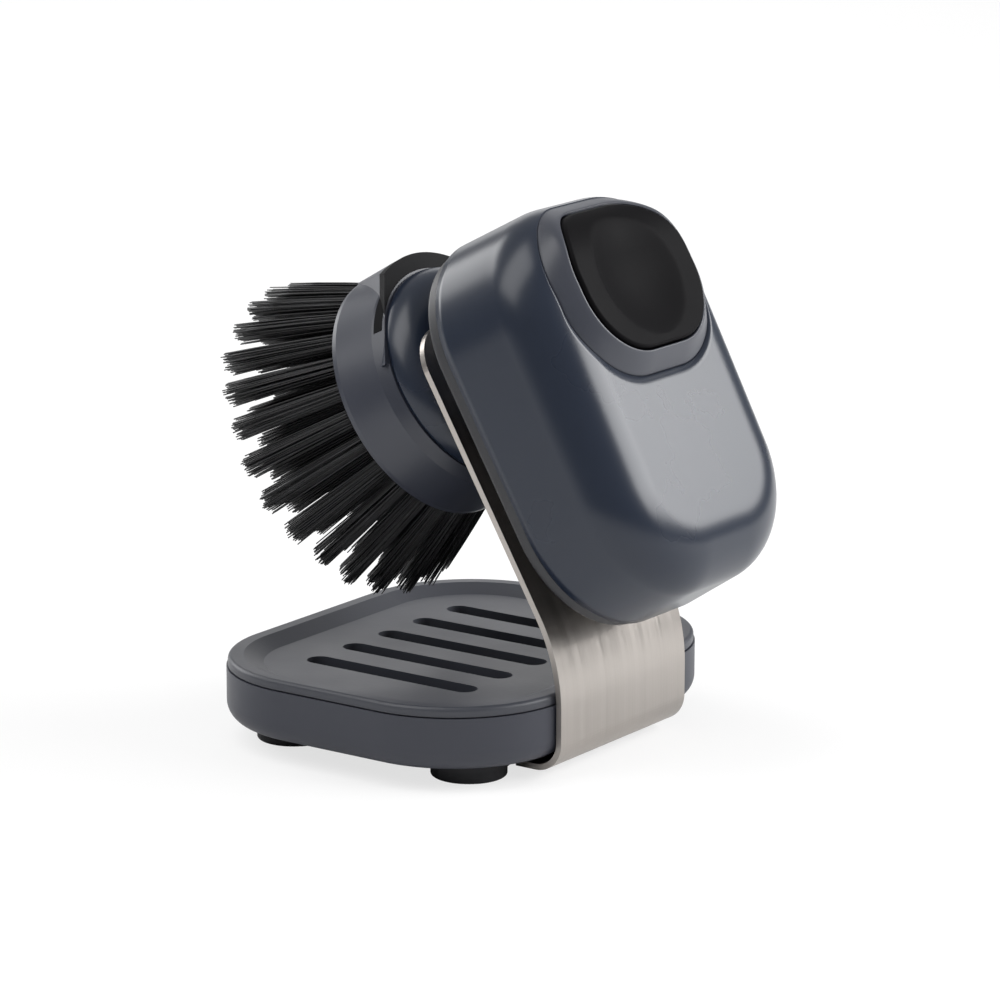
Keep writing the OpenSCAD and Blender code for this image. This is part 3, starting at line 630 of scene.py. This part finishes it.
def strand_mesh(name, lines, radius, backing, mat):
    """Each centre line becomes a four-sided tube that narrows a little at its tip, all in one mesh. The
    backing ring is a square profile spun about the axis. The map gives each strand a column of its own
    and runs along it."""
    s, steps, _ = lines.shape
    q = np.arange(4) * np.pi / 2
    along = np.linspace(0, 1, steps)
    size = radius * (1 - 0.25 * along ** 4)
    ring = np.stack([np.cos(q), np.sin(q), np.zeros(4)], -1)
    verts = lines[:, :, None, :] + size[None, :, None, None] * ring
    idx = np.arange(s * steps * 4).reshape(s, steps, 4)
    a, b = idx[:, :-1, :], np.roll(idx, -1, axis=2)[:, :-1, :]
    c, d = np.roll(idx, -1, axis=2)[:, 1:, :], idx[:, 1:, :]
    faces = np.stack([a, d, c, b], -1).reshape(-1, 4)
    ends = np.concatenate([idx[:, -1, ::-1], idx[:, 0, :]])
    lo, hi = backing
    back = lathe([(lo, -9), (hi, -9), (hi, -7.5), (lo, -7.5)], 96)
    kb, nb = back.shape[:2]
    i = np.arange(nb)
    j = (i + 1) % nb
    base = s * steps * 4
    rows = np.arange(kb)[:, None]
    above = (rows + 1) % kb
    corners = [rows * nb + i, rows * nb + j, above * nb + j, above * nb + i]
    back_faces = np.stack(corners, -1).reshape(-1, 4) + base
    mesh = bpy.data.meshes.new(name)
    points = np.concatenate([verts.reshape(-1, 3), back.reshape(-1, 3)])
    all_faces = np.concatenate([faces, ends, back_faces])
    mesh.from_pydata(on_brush(points).tolist(), [], all_faces.tolist())
    mesh.shade_smooth()
    layer = mesh.uv_layers.new(name="strand")
    loops = np.empty(len(mesh.loops), dtype=np.int64)
    mesh.loops.foreach_get("vertex_index", loops)
    strand = np.minimum(loops // (steps * 4), s)
    step = (loops // 4) % steps
    uv = np.stack([strand * 0.37, step / steps * 0.12], -1)
    layer.data.foreach_set("uv", uv.ravel())
    mesh.materials.append(mat)
    obj = bpy.data.objects.new(name, mesh)
    bpy.context.scene.collection.objects.link(obj)
    return obj


for node, count, root_r, tip_r, per_tuft, turn, backing, drop in (
        ("bristles_outer", 26, 21.1, 32.3, 76, 0, (19.3, 23.6), 0.1),
        ("bristles_second", 26, 17.1, 26.6, 76, 180 / 26, (15.1, 19.2), 0.6),
        ("bristles_third", 15, 12.8, 19.2, 84, 0, (10.7, 15.0), 1.0),
        ("bristles_inner", 10, 8.4, 12.0, 70, 18, (4.7, 10.6), 1.3)):
    lines = tuft_strands(count, root_r, tip_r, per_tuft, turn, drop, count + int(root_r))
    piece = strand_mesh(node + "_strands", lines, 0.17, backing, nylon)
    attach(piece, "head")
    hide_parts(node)


# Floor, light and camera
# A pale table that fades to white, a large soft lamp above left, one at the right, and two behind.

def pale_floor():
    """White floor: camera rays see mostly plain white with some of the lit diffuse, so that the shadow
    stays faint."""
    mat = bpy.data.materials.new("pale_floor")
    mat.use_nodes = True
    tree = mat.node_tree
    tree.nodes.clear()
    n = tree.nodes
    out = n.new("ShaderNodeOutputMaterial")
    diffuse = n.new("ShaderNodeBsdfDiffuse")
    diffuse.inputs["Color"].default_value = (0.9, 0.9, 0.9, 1)
    white = n.new("ShaderNodeEmission")
    white.inputs["Color"].default_value = (1, 1, 1, 1)
    white.inputs["Strength"].default_value = 1.0
    path = n.new("ShaderNodeLightPath")
    part = n.new("ShaderNodeMath")
    part.operation = "MULTIPLY"
    part.inputs[1].default_value = 0.72
    mix = n.new("ShaderNodeMixShader")
    link = tree.links.new
    link(path.outputs["Is Camera Ray"], part.inputs[0])
    link(part.outputs["Value"], mix.inputs["Fac"])
    link(diffuse.outputs["BSDF"], mix.inputs[1])
    link(white.outputs["Emission"], mix.inputs[2])
    link(mix.outputs["Shader"], out.inputs["Surface"])
    return mat


square = np.array([[-1, -1, 0], [1, -1, 0], [1, 1, 0], [-1, 1, 0]])
floor = grid_mesh("floor", np.array([square * 3.0, square * 0.01]), pale_floor(), cap_end=True)


def white_room():
    """World: white to the camera, and to everything else a soft grey room, brighter overhead than at
    the sides."""
    world = bpy.data.worlds.new("white_room")
    bpy.context.scene.world = world
    world.use_nodes = True
    tree = world.node_tree
    tree.nodes.clear()
    n = tree.nodes
    out = n.new("ShaderNodeOutputWorld")
    seen = n.new("ShaderNodeBackground")
    seen.inputs["Color"].default_value = (1, 1, 1, 1)
    lit = n.new("ShaderNodeBackground")
    lit.inputs["Strength"].default_value = 0.42
    co = n.new("ShaderNodeTexCoord")
    split = n.new("ShaderNodeSeparateXYZ")
    ramp = n.new("ShaderNodeValToRGB")
    ramp.color_ramp.elements[0].position = 0.0
    ramp.color_ramp.elements[0].color = (0.55, 0.56, 0.58, 1)
    ramp.color_ramp.elements[1].position = 0.6
    ramp.color_ramp.elements[1].color = (1, 1, 1, 1)
    path = n.new("ShaderNodeLightPath")
    mix = n.new("ShaderNodeMixShader")
    link = tree.links.new
    link(co.outputs["Generated"], split.inputs["Vector"])
    link(split.outputs["Z"], ramp.inputs["Fac"])
    link(ramp.outputs["Color"], lit.inputs["Color"])
    link(path.outputs["Is Camera Ray"], mix.inputs["Fac"])
    link(lit.outputs["Background"], mix.inputs[1])
    link(seen.outputs["Background"], mix.inputs[2])
    link(mix.outputs["Shader"], out.inputs["Surface"])


white_room()


def lamp(name, at, to, size, power):
    """A soft rectangular lamp at a point, facing another."""
    data = bpy.data.lights.new(name, "AREA")
    data.shape = "RECTANGLE"
    data.size, data.size_y = size
    data.energy = power
    obj = bpy.data.objects.new(name, data)
    obj.location = at
    obj.rotation_euler = (Vector(to) - Vector(at)).to_track_quat("-Z", "Y").to_euler()
    bpy.context.scene.collection.objects.link(obj)


lamp("key", (-0.45, 0.258, 0.85), (0, -0.012, 0.07), (0.6, 0.9), 5.5)
lamp("side", (0.62, -0.842, 0.62), (0, -0.012, 0.08), (1.1, 0.6), 18.0)
lamp("back", (0.1, 1.108, 0.45), (0, -0.012, 0.08), (0.7, 0.6), 5.3)
lamp("rear", (0.95, 0.708, 0.35), (0, -0.012, 0.03), (0.6, 0.5), 1.0)

# Camera fitted to the photo: its place, the point it faces, and its lens for a 36 mm sensor
CAMERA_AT = (-0.7364, -0.52094, 0.2700)
CAMERA_TO = (0, 0.00846, 0.0466)

cam_data = bpy.data.cameras.new("camera")
cam_data.sensor_width = 36
cam_data.lens = 166.95
cam_data.shift_x = 0.0371
camera = bpy.data.objects.new("camera", cam_data)
camera.location = CAMERA_AT
camera.rotation_euler = (Vector(CAMERA_TO) - Vector(CAMERA_AT)).to_track_quat("-Z", "Y").to_euler()
bpy.context.scene.collection.objects.link(camera)
bpy.context.scene.camera = camera
bpy.context.scene.view_settings.view_transform = "Standard"
